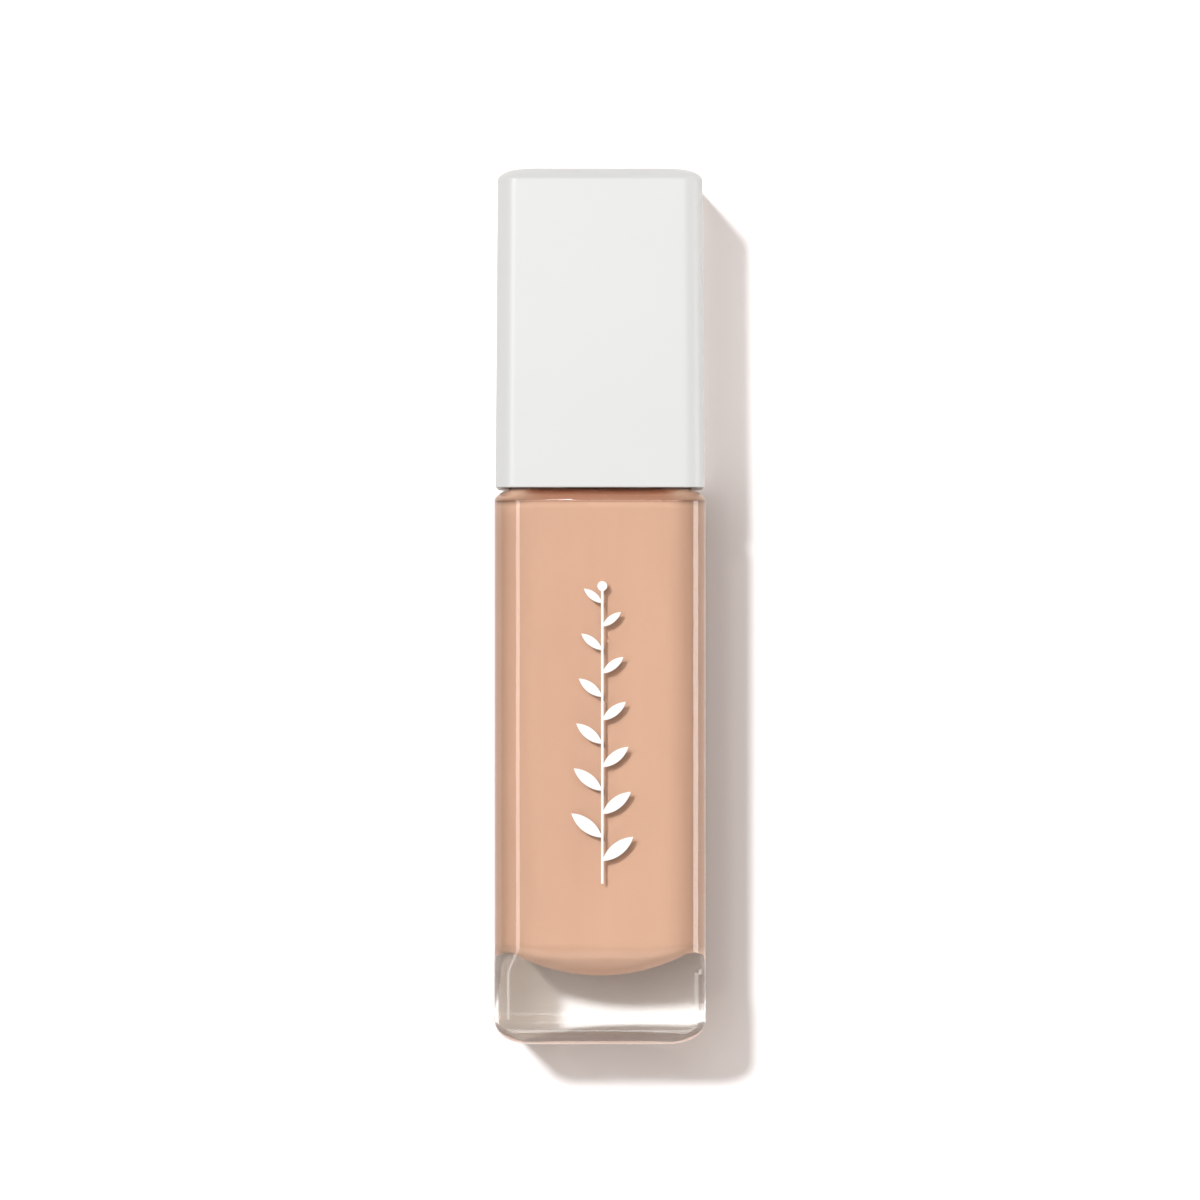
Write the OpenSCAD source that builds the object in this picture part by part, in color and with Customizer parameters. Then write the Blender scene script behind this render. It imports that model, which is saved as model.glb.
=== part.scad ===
// Square glass foundation bottle with a long white cap that carries a doe-foot applicator.
// The bottle stands on z = 0 with its axis on Z. Its decorated front faces -Y. Millimetres.

/* [Bottle] */
// Width and depth of the square glass body
body_w = 28; // [27.6:0.1:30]
// Radius of the body's upright corners
corner_r = 2.6; // [2:0.1:3]
// Height of the glass shoulder above the table
shoulder_z = 73.5; // [68:0.5:80]
// Thickness of the glass at the body's sides
wall = 2.2; // [1.8:0.1:2.4]
// Thickness of the solid glass base at its middle
base_t = 8.9; // [7:0.1:11]

/* [Neck] */
// Outer radius of the neck, at the root of its thread
neck_r = 8.05; // [7.9:0.05:8.1]
// Radius of the bore through the neck
bore_r = 5.4; // [5.3:0.05:5.6]
// Height of the neck above the shoulder
neck_h = 15; // [14:0.5:16]
// Pitch of the neck's single-start thread
thread_pitch = 3.2; // [3:0.1:3.4]

/* [Cap] */
// Width and depth of the cap at its open end
cap_w = 27.7; // [27.4:0.1:27.8]
// Height of the cap
cap_h = 42.4; // [41:0.2:46]
// How much narrower the cap is at its closed end
cap_draft = 0.55; // [0.3:0.05:0.8]
// Radius of the cap's upright corners and top edges
cap_round = 2.45; // [2:0.05:2.5]
// Gap between the closed cap and the shoulder
cap_gap = 0.4; // [0.3:0.1:0.6]

/* [Applicator] */
// Radius of the applicator's stem
stem_r = 2.2; // [2:0.1:2.3]
// Radius of the doe-foot tip, flocking included
tip_r = 3.2; // [3:0.05:3.3]
// Length of the doe-foot tip
tip_l = 17; // [14:0.5:19]
// Gap between the tip and the middle of the bottle's floor
tip_gap = 3.5; // [3:0.5:6]

/* [Hidden] */
$fn = 72;

corner_steps = 6;        // facets in each upright corner
edge_steps = 6;          // facets in each rounded edge
thread_steps = 36;       // facets in each turn of a thread
cut = 0.1;               // how far a cutter runs past the face it opens
embed = 0.3;             // how far a thread is sunk into the wall that carries it

half_w = body_w / 2;
base_edge = [4.5, 3.5];      // width and height of the rounding under the base
shoulder_edge = [3.3, 1.35]; // width and height of the rounding at the shoulder
mouth_z = shoulder_z + neck_h;

cavity_half = half_w - wall;
cavity_corner = 4.2;
cavity_top = shoulder_z - 1.6;
cavity_top_edge = 2.2;       // rounding under the shoulder
floor_dome_r = 23;           // radius of the domed cavity floor
floor_dome_half = 10.5;      // half width of the dome, out to its corner rounding
floor_dome_min = 1.5;        // half width of the flat at the dome's middle

label_recess_r = 8.2;
label_recess_h = 0.35;
label_r = 7.9;
label_t = 0.1;

thread_h = 0.8;              // how far the neck's thread stands out
thread_base = 1.9;           // thickness of a thread at its root
thread_tip = 0.8;            // thickness of a thread at its crest
thread_turns = 1.75;
thread_z = shoulder_z + 6.2;

wiper_flange_r = 7.3;
wiper_flange_t = 0.9;
wiper_wall = 0.8;
wiper_l = 12;
wiper_hole_r = tip_r + 0.2;
wiper_cone_h = 3.5;
wiper_gap = 0.05;            // clearance between the wiper's sleeve and the neck's bore
seal_t = 1;
seal_r = 7.6;
seal_hole_r = 4.1;

cap_z = shoulder_z + cap_gap;
cap_top = cap_z + cap_h;
cap_half = cap_w / 2;
cap_half_top = cap_half - cap_draft / 2;
cap_rim = 0.3;               // rounding of the cap's open edge
cap_wall = 1.7;
cap_roof = 1.9;
pocket_corner = 1.4;
sleeve_r = 11.3;             // inside radius of the cap's round sleeve
sleeve_wall = 1.2;
sleeve_h = 20;
post_r = 4.6;                // inside radius of the tube that centres the inner cap's boss
post_wall = 1;
post_grip = 3;               // how far the boss reaches into that tube

liner_z = cap_z + 0.3;       // underside of the inner cap
liner_flange_t = 1;
liner_flange_half = cap_half - cap_wall - 0.15;
liner_r = 10.7;
liner_rib_count = 24;
liner_bore_r = 9.7;
liner_thread_h = liner_bore_r - neck_r - thread_h - 0.12;
liner_roof_z = mouth_z + wiper_flange_t + seal_t;
liner_roof_t = 1.6;
boss_r = 4.5;
boss_top = liner_roof_z + liner_roof_t + 10;
boss_gusset = 4;

head_r = 2.7;                // radius of the stem's head, inside the boss
head_top = boss_top - 1.5;
head_gap = 0.05;             // running clearance round the stem's head
snap_h = 0.25;               // how far the snap ring stands out of the head
snap_z = liner_roof_z + liner_roof_t + 5;
flange_r = 3.8;              // flange that seats the stem under the inner cap's roof
flange_t = 1.2;
collar_r = 4.3;              // collar that lifts the seal ring off the neck
collar_t = 1;
unscrew_turns = 1.25;
collar_top = mouth_z + wiper_flange_t - thread_pitch * unscrew_turns - 0.2;
spigot_r = 1.6;
spigot_l = 9;
spigot_gap = 0.05;

tip_z = base_t + tip_gap;
tip_top = tip_z + tip_l;
flock_t = 0.35;
tip_end_r = 1.5;             // radius of the tip's rounded end
tip_neck_l = 5;              // straight length at the top of the tip
channel_gap = 0.35;          // liquid is kept this far from the tip

print_t = 0.05;
print_z = 41;                // middle of the printed sprig
print_l = 41;                // length of the printed sprig
print_x = 0.3;               // the sprig stands this far right of the bottle's middle
print_stem_w = 0.32;
leaf_l = 5.2;
leaf_w = 1.7;
leaf_pairs = 6;
leaf_tilt = 38;
bud_r = 0.65;

// Outline of a square with rounded corners, counterclockwise from +X.
function rounded_square(half, r) = [
    for (corner = [0:3], i = [0:corner_steps])
        let (
            a = 90 * (corner + i / corner_steps),
            sx = corner == 0 || corner == 3 ? 1 : -1,
            sy = corner < 2 ? 1 : -1
        )
        [sx * (half - r) + r * cos(a), sy * (half - r) + r * sin(a)]
];

// Sections of an elliptical edge. t runs from 0 at the side wall to 1 at the end face.
function edge_inset(edge, t) = edge[0] * (1 - cos(90 * t));
function edge_rise(edge, t) = edge[1] * sin(90 * t);

// A solid through a stack of rounded squares, each given as [half width, corner radius, z].
module loft(sections) {
    n = 4 * (corner_steps + 1);
    last = len(sections) - 1;
    points = [for (s = sections) for (p = rounded_square(s[0], s[1])) [p[0], p[1], s[2]]];
    faces = concat(
        [[for (i = [0:n - 1]) i]],
        [[for (i = [n - 1:-1:0]) last * n + i]],
        [for (k = [0:last - 1], i = [0:n - 1]) [k * n + i, (k + 1) * n + i, (k + 1) * n + (i + 1) % n]],
        [for (k = [0:last - 1], i = [0:n - 1]) [k * n + i, (k + 1) * n + (i + 1) % n, k * n + (i + 1) % n]]
    );
    polyhedron(points, faces, convexity = 4);
}

// A thread ridge from its root radius to its crest radius, fading in and out over a quarter turn.
module thread_ridge(root_r, crest_r, z, turns) {
    steps = round(thread_steps * turns);
    fade_steps = thread_steps / 4;
    least = 0.1;
    side = crest_r > root_r ? 1 : -1;
    points = [
        for (k = [0:steps])
            let (
                a = 360 * turns * k / steps,
                mid = z + thread_pitch * turns * k / steps,
                fade = max(least, min(1, k / fade_steps, (steps - k) / fade_steps)),
                buried = root_r - side * embed,
                crest = root_r + (crest_r - root_r) * fade,
                profile = [
                    [buried, -thread_base / 2], [crest, -thread_tip / 2],
                    [crest, thread_tip / 2], [buried, thread_base / 2]
                ]
            )
            for (p = profile) [p[0] * cos(a), p[0] * sin(a), mid + p[1]]
    ];
    start = [0, 1, 2, 3];
    end = [for (i = [3:-1:0]) 4 * steps + i];
    sides = [
        for (k = [0:steps - 1], i = [0:3])
            let (a = 4 * k + i, b = 4 * k + (i + 1) % 4)
            each [[a, a + 4, b + 4], [a, b + 4, b]]
    ];
    faces = concat([start, end], sides);
    turned = [for (f = faces) [for (i = [len(f) - 1:-1:0]) f[i]]];
    polyhedron(points, side < 0 ? faces : turned, convexity = 8);
}

module tube(outer_r, inner_r, h) {
    difference() {
        cylinder(r = outer_r, h = h);
        translate([0, 0, -cut]) cylinder(r = inner_r, h = h + 2 * cut);
    }
}

module rounded_square_plate(half, r, h) {
    linear_extrude(h) {
        square([2 * half, 2 * (half - r)], center = true);
        square([2 * (half - r), 2 * half], center = true);
        for (x = [-1, 1], y = [-1, 1]) translate([x * (half - r), y * (half - r)]) circle(r);
    }
}

// ---- glass bottle and what stays in it ----

module body_outside() {
    loft(concat(
        [for (i = [edge_steps:-1:0])
            let (t = i / edge_steps)
            [half_w - edge_inset(base_edge, t), corner_r, base_edge[1] - edge_rise(base_edge, t)]],
        [for (i = [0:edge_steps])
            let (t = i / edge_steps)
            [half_w - edge_inset(shoulder_edge, t), corner_r,
             shoulder_z - shoulder_edge[1] + edge_rise(shoulder_edge, t)]]
    ));
}

// Corner radius that turns the cavity's round floor into its square sides.
function cavity_corner_at(half) =
    min(0.98 * half, half - (cavity_half - cavity_corner) * pow(half / cavity_half, 3));

// Sections of the domed floor and of the rounding that joins it to the sides.
dome_rise = floor_dome_r - sqrt(pow(floor_dome_r, 2) - pow(floor_dome_half, 2));
dome_angle = asin(floor_dome_half / floor_dome_r);
floor_corner_r = (cavity_half - floor_dome_half) / (1 - sin(dome_angle));
floor_sections = concat(
    [for (i = [0:edge_steps])
        let (
            half = floor_dome_min + (floor_dome_half - floor_dome_min) * i / edge_steps,
            z = base_t + floor_dome_r - sqrt(pow(floor_dome_r, 2) - half * half)
        )
        [half, cavity_corner_at(half), z]],
    [for (i = [1:edge_steps])
        let (
            a = dome_angle + (90 - dome_angle) * i / edge_steps,
            half = cavity_half - floor_corner_r * (1 - sin(a)),
            z = base_t + dome_rise + floor_corner_r * (cos(dome_angle) - cos(a))
        )
        [half, cavity_corner_at(half), z]]
);

module cavity() {
    edge = [cavity_top_edge, cavity_top_edge];
    loft(concat(
        floor_sections,
        [for (i = [0:edge_steps])
            let (t = i / edge_steps)
            [cavity_half - edge_inset(edge, t), cavity_corner - edge_inset(edge, t) / 2,
             cavity_top - cavity_top_edge + edge_rise(edge, t)]]
    ));
}

module neck() {
    bevel = 0.5;
    root_z = shoulder_z - 1;
    rotate_extrude()
        polygon([
            [0, root_z], [neck_r, root_z], [neck_r, mouth_z - bevel],
            [neck_r - bevel, mouth_z], [0, mouth_z]
        ]);
    thread_ridge(neck_r, neck_r + thread_h, thread_z, thread_turns);
}

module glass_bottle() {
    color("lightcyan", 0.4)
    difference() {
        union() {
            body_outside();
            neck();
        }
        cavity();
        translate([0, 0, cavity_top - 1]) cylinder(r = bore_r, h = neck_h + 5);
        translate([0, 0, -cut]) cylinder(r = label_recess_r, h = label_recess_h + cut);
    }
}

// The liquid fills the body. A round channel is left for the applicator.
module foundation_fill() {
    color("peachpuff")
    difference() {
        cavity();
        translate([0, 0, tip_z - channel_gap]) cylinder(r = tip_r + channel_gap, h = cavity_top);
    }
}

module neck_wiper() {
    sleeve_r_out = bore_r - wiper_gap;
    bead = 0.4;
    bottom = mouth_z - wiper_l;
    cone_top = bottom + wiper_cone_h;
    color("whitesmoke")
    rotate_extrude()
        polygon(concat(
            [[wiper_hole_r, bottom], [wiper_hole_r + 0.5, bottom], [sleeve_r_out, cone_top]],
            [for (z = [cone_top + 1.5, cone_top + 3.5, cone_top + 5.5])
                each [[sleeve_r_out, z - bead], [bore_r, z], [sleeve_r_out, z + bead]]],
            [
                [sleeve_r_out, mouth_z], [wiper_flange_r, mouth_z],
                [wiper_flange_r, mouth_z + wiper_flange_t],
                [sleeve_r_out - wiper_wall + 0.4, mouth_z + wiper_flange_t],
                [sleeve_r_out - wiper_wall, mouth_z + wiper_flange_t - 0.4],
                [sleeve_r_out - wiper_wall, cone_top + 0.3]
            ]
        ));
}

// A leaf is where two equal circles cross.
module leaf(length, width) {
    r = (length * length + width * width) / (4 * width);
    intersection() {
        translate([length / 2, r - width / 2]) circle(r);
        translate([length / 2, width / 2 - r]) circle(r);
    }
}

// A plain leafy sprig in white ink, on the front face.
module front_print() {
    first = -print_l / 2 + 4;
    step = (print_l - 10) / (leaf_pairs - 1);
    color("white")
    translate([print_x, -half_w, print_z]) rotate([90, 0, 0])
    linear_extrude(print_t) {
        square([print_stem_w, print_l - 2], center = true);
        translate([0, print_l / 2 - bud_r]) circle(bud_r);
        for (i = [0:leaf_pairs - 1]) {
            size = 1 - 0.08 * i;
            translate([0, first + step * i]) rotate(leaf_tilt) leaf(leaf_l * size, leaf_w * size);
            translate([0, first + step * (i + 0.5)])
                rotate(180 - leaf_tilt) leaf(leaf_l * size, leaf_w * size);
        }
    }
}

module base_label() {
    color("white")
    translate([0, 0, label_recess_h - label_t]) cylinder(r = label_r, h = label_t);
}

// ---- cap and applicator ----

module seal_ring() {
    color("gainsboro")
    translate([0, 0, mouth_z + wiper_flange_t]) tube(seal_r, seal_hole_r, seal_t);
}

module applicator_stem() {
    bevel = 0.4;
    color("ghostwhite")
    rotate_extrude()
        polygon([
            [0, tip_top - spigot_l], [spigot_r - bevel, tip_top - spigot_l],
            [spigot_r, tip_top - spigot_l + bevel], [spigot_r, tip_top],
            [stem_r, tip_top], [stem_r, collar_top - collar_t - bevel],
            [collar_r, collar_top - collar_t], [collar_r, collar_top],
            [stem_r, collar_top], [stem_r, liner_roof_z - flange_t - bevel],
            [flange_r, liner_roof_z - flange_t], [flange_r, liner_roof_z],
            [head_r, liner_roof_z], [head_r, snap_z - 2 * snap_h],
            [head_r + snap_h, snap_z], [head_r, snap_z + 2 * snap_h],
            [head_r, head_top - bevel], [head_r - bevel, head_top], [0, head_top]
        ]);
}

// The doe-foot: a round neck that leans to one side as it thins to its end.
module doe_foot(inset) {
    r = tip_r - inset;
    end_r = tip_end_r - inset / 2;
    hull() {
        translate([0, 0, tip_top - tip_neck_l]) cylinder(r = r, h = tip_neck_l, $fn = 32);
        translate([0, r - end_r, tip_z + inset + end_r]) sphere(r = end_r, $fn = 32);
        translate([0, 0.5, tip_z + tip_l / 2]) scale([1, 0.85, 1.4]) sphere(r = r - 0.45, $fn = 32);
    }
}

module spigot_hole() {
    translate([0, 0, tip_top - spigot_l - 0.5]) cylinder(r = spigot_r + spigot_gap, h = spigot_l + 1);
}

module tip_core() {
    color("seashell")
    difference() {
        doe_foot(flock_t);
        spigot_hole();
    }
}

module tip_flocking() {
    color("bisque")
    difference() {
        doe_foot(0);
        doe_foot(flock_t);
        translate([0, 0, tip_top - 0.6]) cylinder(r = tip_r - flock_t, h = 1);
    }
}

module inner_cap() {
    roof_top = liner_roof_z + liner_roof_t;
    thread_start = thread_z - thread_pitch / 2;
    color("white")
    difference() {
        union() {
            translate([0, 0, liner_z]) cylinder(r = liner_r, h = roof_top - liner_z);
            translate([0, 0, liner_z])
                rounded_square_plate(liner_flange_half, pocket_corner, liner_flange_t);
            translate([0, 0, roof_top - 1]) cylinder(r = boss_r, h = boss_top - roof_top + 1);
            for (i = [0:liner_rib_count - 1])
                rotate(360 * i / liner_rib_count)
                    translate([liner_r - embed, -0.35, cap_z + 4])
                        cube([sleeve_r - liner_r + embed - 0.02, 0.7, 14]);
            for (i = [0:3])
                rotate(45 + 90 * i) rotate([90, 0, 0])
                    linear_extrude(0.8, center = true)
                        polygon([
                            [boss_r - embed, roof_top - embed], [boss_r + boss_gusset, roof_top - embed],
                            [boss_r + boss_gusset, roof_top], [boss_r, roof_top + boss_gusset],
                            [boss_r - embed, roof_top + boss_gusset]
                        ]);
        }
        translate([0, 0, liner_z - cut]) cylinder(r = liner_bore_r, h = liner_roof_z - liner_z + cut);
        stem_socket();
    }
    color("white") thread_ridge(liner_bore_r, liner_bore_r - liner_thread_h, thread_start, thread_turns);
}

// Round socket for the stem's head, with a groove for its snap ring.
module stem_socket() {
    r = head_r + head_gap;
    rotate_extrude()
        polygon([
            [0, liner_roof_z - 1], [r, liner_roof_z - 1], [r, snap_z - 2 * snap_h - head_gap],
            [r + snap_h, snap_z - head_gap], [r + snap_h, snap_z + head_gap],
            [r, snap_z + 2 * snap_h + head_gap], [r, head_top + head_gap], [0, head_top + head_gap]
        ]);
}

module cap_outside() {
    edge = [cap_round, cap_round];
    loft(concat(
        [[cap_half - cap_rim, cap_round, cap_z], [cap_half, cap_round, cap_z + cap_rim]],
        [for (i = [0:edge_steps])
            let (t = i / edge_steps, inset = edge_inset(edge, t))
            [cap_half_top - inset, cap_round + 0.1 - inset, cap_top - cap_round + edge_rise(edge, t)]]
    ));
}

module cap_pocket() {
    loft([
        [cap_half - cap_wall, pocket_corner, cap_z - cut],
        [cap_half_top - cap_wall, pocket_corner, cap_top - cap_roof - 1],
        [cap_half_top - cap_wall - 1, pocket_corner, cap_top - cap_roof]
    ]);
}

module cap_shell() {
    sleeve_z = liner_z + liner_flange_t;
    post_z = boss_top - post_grip;
    color("white")
    union() {
        difference() {
            cap_outside();
            cap_pocket();
        }
        translate([0, 0, sleeve_z]) tube(sleeve_r + sleeve_wall, sleeve_r, sleeve_h);
        translate([0, 0, post_z]) tube(post_r + post_wall, post_r, cap_top - cap_roof - post_z + 1);
    }
}

glass_bottle();
foundation_fill();
neck_wiper();
front_print();
base_label();
seal_ring();
applicator_stem();
tip_core();
tip_flocking();
inner_cap();
cap_shell();
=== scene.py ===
"""Foundation bottle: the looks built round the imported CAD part.

Sizes in the code are millimetres and angles are degrees unless a name says otherwise. MM turns
millimetres into Blender's metres. The bottle stands on z = 0, and its printed front faces -Y.
"""
import math

import bmesh
import bpy
import numpy as np
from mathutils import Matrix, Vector


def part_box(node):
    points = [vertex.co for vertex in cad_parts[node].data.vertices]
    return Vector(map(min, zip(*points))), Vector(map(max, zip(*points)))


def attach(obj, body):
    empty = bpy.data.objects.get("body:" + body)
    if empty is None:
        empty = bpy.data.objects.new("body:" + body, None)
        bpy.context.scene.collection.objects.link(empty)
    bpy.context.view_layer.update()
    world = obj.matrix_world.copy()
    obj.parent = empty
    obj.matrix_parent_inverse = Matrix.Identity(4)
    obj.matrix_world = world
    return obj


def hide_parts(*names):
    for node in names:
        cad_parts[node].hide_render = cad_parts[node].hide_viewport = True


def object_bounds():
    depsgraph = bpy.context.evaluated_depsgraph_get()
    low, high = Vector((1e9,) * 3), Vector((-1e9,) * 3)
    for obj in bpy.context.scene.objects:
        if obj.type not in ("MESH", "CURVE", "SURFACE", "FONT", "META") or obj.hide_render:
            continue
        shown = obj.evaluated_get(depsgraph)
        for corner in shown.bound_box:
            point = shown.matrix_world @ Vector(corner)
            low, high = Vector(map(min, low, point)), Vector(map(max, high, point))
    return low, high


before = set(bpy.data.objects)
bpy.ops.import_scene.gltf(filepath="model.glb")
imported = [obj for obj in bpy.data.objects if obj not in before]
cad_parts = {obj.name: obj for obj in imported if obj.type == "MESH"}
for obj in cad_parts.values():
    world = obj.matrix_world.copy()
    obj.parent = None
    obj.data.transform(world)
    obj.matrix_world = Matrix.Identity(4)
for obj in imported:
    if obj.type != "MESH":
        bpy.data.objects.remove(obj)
cad_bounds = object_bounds()
MM = 0.001


def box_mm(node):
    low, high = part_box(node)
    return low / MM, high / MM


# ---------------------------------------------------------------- sizes

CAD_HIGH = Vector(cad_bounds[1]) / MM
GLASS_HIGH = box_mm("glass_bottle")[1]
FILL_HIGH = box_mm("foundation_fill")[1]
CAP_LOW, CAP_HIGH = box_mm("cap_shell")
LINER_LOW, LINER_HIGH = box_mm("inner_cap")
WIPER_LOW, WIPER_HIGH = box_mm("neck_wiper")
SEAL_LOW, SEAL_HIGH = box_mm("seal_ring")
STEM_LOW, STEM_HIGH = box_mm("applicator_stem")
TIP_LOW, TIP_HIGH = box_mm("tip_flocking")

BODY_HALF = GLASS_HIGH.x
BODY_CORNER = 3.3              # radius of the upright edges round the liquid
BASE_CORNER = 1.9              # and round the solid base
CORNER_CHANGE = (9.5, 13.0)    # the heights between which one becomes the other
BASE_EDGE = (4.5, 3.5)         # width and height of the rounding under the base
SHOULDER_EDGE = (3.3, 1.7)     # and of the rounding at the shoulder
MOUTH_Z = GLASS_HIGH.z
NECK_H = 15.0
SHOULDER_Z = MOUTH_Z - NECK_H + 0.3
NECK_R = 8.05
NECK_FILLET = 0.6
LIP_ROUND = 0.5
BORE_R = 5.4
BORE_ROUND = 0.4
BORE_FOOT = 0.5                # radius of the bore's lower edge
RECESS_R, RECESS_H = 8.2, 0.34
RECESS_ROUND = 0.12

CAVITY_HALF = FILL_HIGH.x
CAVITY_CORNER = 4.2
CAVITY_TOP = FILL_HIGH.z + 0.4
CAVITY_EDGE = 1.2              # radius of the cavity's upper edge
DOME_R, DOME_HALF = 23.0, 10.5
BASE_T = 8.9
CHANNEL_R = 3.55               # the round space that the wand stands in
CHANNEL_Z = TIP_LOW.z - 0.35
CHANNEL_ROUND = 0.4
SWELL = 0.02                   # how far the liquid reaches into the glass, so that no air shows there

THREAD_H, THREAD_BASE, THREAD_TIP = 0.8, 1.9, 0.8
THREAD_PITCH, THREAD_TURNS = 3.2, 1.75
THREAD_Z = MOUTH_Z - NECK_H + 6.2
THREAD_FADE = 80.0             # degrees over which a thread's end fades
THREAD_STEP = 0.2              # height of the mesh's steps along a thread
THREAD_CLEARANCE = 0.12        # between the crests of the two threads, on the radius

CAP_HALF = CAP_HIGH.x
CAP_HALF_TOP = CAP_HALF - 0.275
CAP_CORNER = 2.45
CAP_EDGE = (3.7, 1.75)         # width and height of the rounding round the cap's top
CAP_RIM = 0.16                 # radius of the mouth's outer edge
MOUTH_ROUND = 0.15             # and of its inner edge
CAP_WALL = 1.7
CAP_ROOF = 1.9
POCKET_CORNER = 1.4
POCKET_ROUND = 1.0

LINER_ROOF = 1.6               # thickness of the inner cap's roof
LINER_BORE_R, LINER_WALL_R = 9.7, 10.7
LINER_FLANGE = 1.0
LINER_ROUND = 0.3
BOSS_R, BOSS_FILLET = 4.5, 0.5
SOCKET_R = 2.75
SOCKET_ROUND = 0.25
SNAP_Z = SEAL_HIGH.z + LINER_ROOF + 5.0        # middle of the snap ring on the stem's head
RIB_H = 0.58
RIB_COUNT, RIB_STEPS = 24, 8                   # grip ribs, and mesh steps for each rib and its gap
FIN_HALF = 0.4

STEM_R = 2.2
SPIGOT_R = 1.6
COLLAR_TOP = SEAL_LOW.z - THREAD_PITCH * 1.25 - 0.2
TIP_END_R = 1.5
TIP_SLANT = 12.0               # height of the doe-foot's slanted face
TIP_ROUND = 1.6
FLOCK_DEPTH = 0.35
FIBRE_COUNT = 5200


# ---------------------------------------------------------------- meshes

def corner_angles():
    """Angles round a full turn, in radians, closest together at the four corners."""
    spans = [(0, 30, 6), (30, 38, 5), (38, 52, 20), (52, 60, 5), (60, 90, 6)]
    quarter = np.concatenate([np.linspace(a, b, n, endpoint=False) for a, b, n in spans])
    return np.radians(np.concatenate([quarter + 90 * k for k in range(4)]))


def even_angles(count):
    return np.linspace(0, 2 * math.pi, count, endpoint=False)


def square_reach(half, corner, angles):
    """How far a rounded square's outline is from its middle, along each angle."""
    c, s = np.abs(np.cos(angles)), np.abs(np.sin(angles))
    core = half - corner
    side = half / np.maximum(np.maximum(c, s), 1e-9)
    across = side * np.minimum(c, s)
    under = core ** 2 * (c + s) ** 2 - 2 * core ** 2 + corner ** 2
    arc = core * (c + s) + np.sqrt(np.maximum(under, 0))
    return np.where(across <= core, side, arc)


def ring(reach, z, angles):
    """A closed loop of points at height z. reach is one radius, or one for each angle."""
    x, y = reach * np.cos(angles), reach * np.sin(angles)
    return np.stack([x, y, np.broadcast_to(z, x.shape)], axis=1)


def square_ring(half, corner, z, angles):
    return ring(square_reach(half, corner, angles), z, angles)


def arc_points(centre, radius, start, end, steps):
    """Points (r, z) on an arc, or on an ellipse's arc if radius is a pair."""
    rx, rz = radius if isinstance(radius, tuple) else (radius, radius)
    angles = np.radians(np.linspace(start, end, steps + 1))
    return [(centre[0] + rx * math.cos(a), centre[1] + rz * math.sin(a)) for a in angles]


def area_normals(mesh):
    """Vertex normals weighted by face area, so that a flat face next to a rounding stays flat."""
    total = np.zeros((len(mesh.vertices), 3))
    for face in mesh.polygons:
        total[list(face.vertices)] += np.array(face.normal) * face.area
    length = np.linalg.norm(total, axis=1, keepdims=True)
    return total / np.maximum(length, 1e-20)


def mesh_object(name, points_mm, faces, body, node_names, material):
    """Makes a smooth closed piece from points and faces, and rides it on a body."""
    mesh = bpy.data.meshes.new(name)
    mesh.from_pydata([tuple(p * MM) for p in np.asarray(points_mm, float)], [], faces)
    work = bmesh.new()
    work.from_mesh(mesh)
    bmesh.ops.remove_doubles(work, verts=work.verts, dist=1e-7)
    bmesh.ops.recalc_face_normals(work, faces=work.faces)
    work.to_mesh(mesh)
    work.free()
    for face in mesh.polygons:
        face.use_smooth = True
    mesh.normals_split_custom_set_from_vertices([tuple(n) for n in area_normals(mesh)])
    mesh.materials.append(material)
    piece = bpy.data.objects.new(name, mesh)
    bpy.context.scene.collection.objects.link(piece)
    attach(piece, body)
    if node_names:
        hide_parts(*node_names)
    return piece


def skin(rings, closed_loop=False):
    """Quads between loops of equal length.

    The ends are closed by a fan, unless the last loop joins the first.
    """
    count = len(rings[0])
    points = np.concatenate(rings)
    faces = []
    pairs = [(k, k + 1) for k in range(len(rings) - 1)]
    if closed_loop:
        pairs.append((len(rings) - 1, 0))
    for a, b in pairs:
        for i in range(count):
            j = (i + 1) % count
            faces.append([a * count + i, a * count + j, b * count + j, b * count + i])
    if not closed_loop:
        ends = [rings[0].mean(axis=0), rings[-1].mean(axis=0)]
        base = len(points)
        points = np.concatenate([points, ends])
        for end, start in ((base, 0), (base + 1, (len(rings) - 1) * count)):
            for i in range(count):
                faces.append([end, start + i, start + (i + 1) % count])
    return points, faces


def lathe(profile, angles):
    """Rings for a list of (r, z)."""
    return [ring(r, z, angles) for r, z in profile]


def join_parts(parts):
    """Several (points, faces) as one."""
    points, faces, offset = [], [], 0
    for p, f in parts:
        points.append(p)
        faces += [[i + offset for i in face] for face in f]
        offset += len(p)
    return np.concatenate(points), faces


def smooth_step(t):
    t = np.clip(t, 0, 1)
    return t * t * (3 - 2 * t)


def thread_height(z, angles, start_z):
    """How far a thread stands out at height z, for each angle: a rounded ridge that fades in and out."""
    height = np.zeros_like(angles)
    span = 360 * THREAD_TURNS
    for turn in range(3):
        along = np.degrees(angles) + 360 * turn
        centre = start_z + THREAD_PITCH * along / 360
        fade = smooth_step(np.minimum(along, span - along) / THREAD_FADE)
        slope = (THREAD_BASE - THREAD_TIP) / 2
        ridge = smooth_step((THREAD_BASE / 2 - np.abs(z - centre)) / slope)
        height = np.maximum(height, THREAD_H * ridge * fade * (along <= span))
    return height


# ---------------------------------------------------------------- shapes of the bottle

def cavity_corner_at(half):
    return min(0.98 * half, half - (CAVITY_HALF - CAVITY_CORNER) * (half / CAVITY_HALF) ** 3)


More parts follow.
